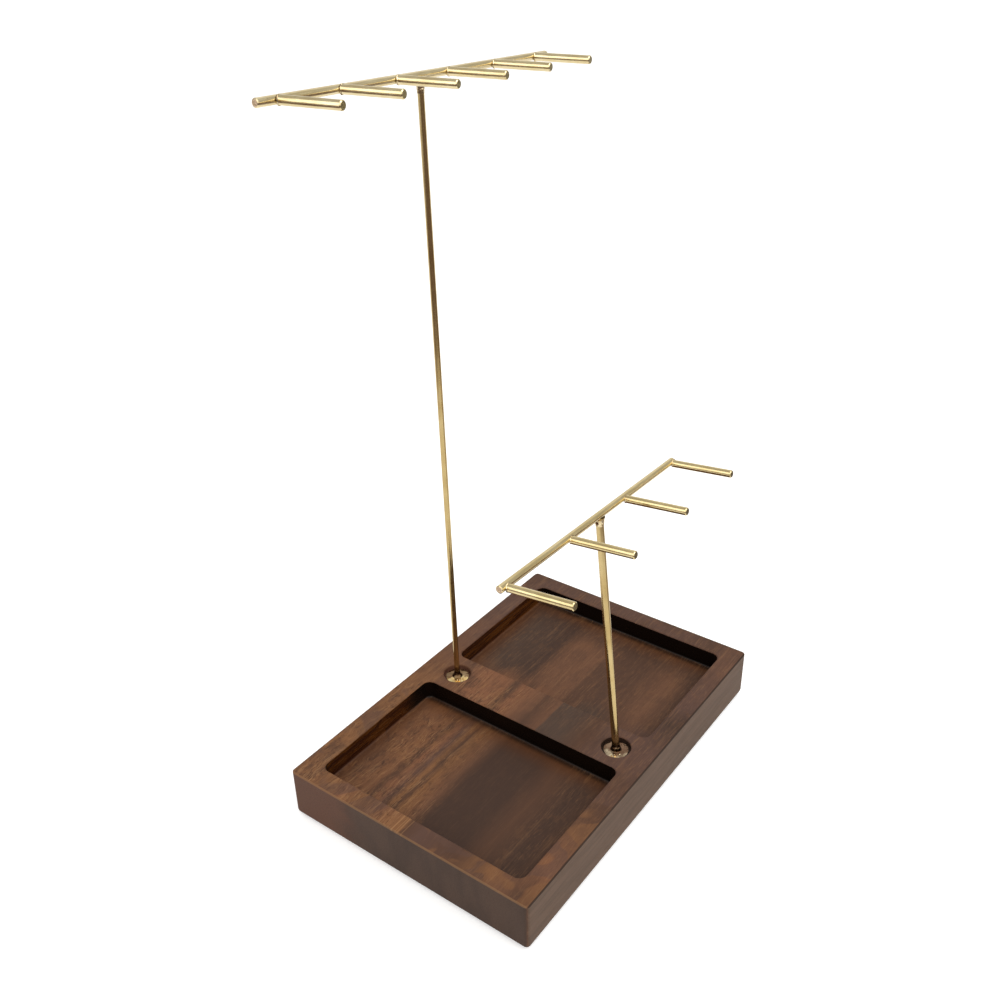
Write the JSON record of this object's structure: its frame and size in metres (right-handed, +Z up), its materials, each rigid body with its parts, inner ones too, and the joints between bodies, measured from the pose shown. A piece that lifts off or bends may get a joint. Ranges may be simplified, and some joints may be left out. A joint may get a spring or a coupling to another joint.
{
  "type": "jewelry stand",
  "caption": "Wooden jewelry stand with trays milled into its board and a tall and a short brass wire comb that turn on threaded studs, each with a crossbar and pegs for necklaces.",
  "frame": {"origin": "on the table, under the middle of the board", "axes": "+Z up, +X along the board to the right, -Y the way the pegs point, which is the front"},
  "size_m": [0.24, 0.16, 0.3863],
  "materials": {
    "wood": "dark stained, oiled, low sheen",
    "felt": "dense needle felt",
    "insert_brass": "as turned",
    "brass": "polished, lightly brushed"
  },
  "bodies": {
    "base": {"base_board": "wood", "felt_pad_front_left": "felt", "felt_pad_front_right": "felt", "felt_pad_back_left": "felt", "felt_pad_back_right": "felt", "tall_insert": "insert_brass", "short_insert": "insert_brass"},
    "tall_comb": {"tall_foot": "brass", "tall_rod": "brass", "tall_crossbar": "brass", "tall_peg_1": "brass", "tall_peg_2": "brass", "tall_peg_3": "brass", "tall_peg_4": "brass", "tall_peg_5": "brass", "tall_peg_6": "brass"},
    "short_comb": {"short_foot": "brass", "short_rod": "brass", "short_crossbar": "brass", "short_peg_1": "brass", "short_peg_2": "brass", "short_peg_3": "brass", "short_peg_4": "brass"}
  },
  "joints": [
    {"name": "tall_comb_turn", "type": "hinge", "parent": "base", "child": "tall_comb", "pos_m": [0, 0.057, 0.0295], "axis": [0, 0, 1], "range_deg": [-180, 180]},
    {"name": "short_comb_turn", "type": "hinge", "parent": "base", "child": "short_comb", "pos_m": [0, -0.057, 0.0295], "axis": [0, 0, 1], "range_deg": [-180, 180]}
  ]
}
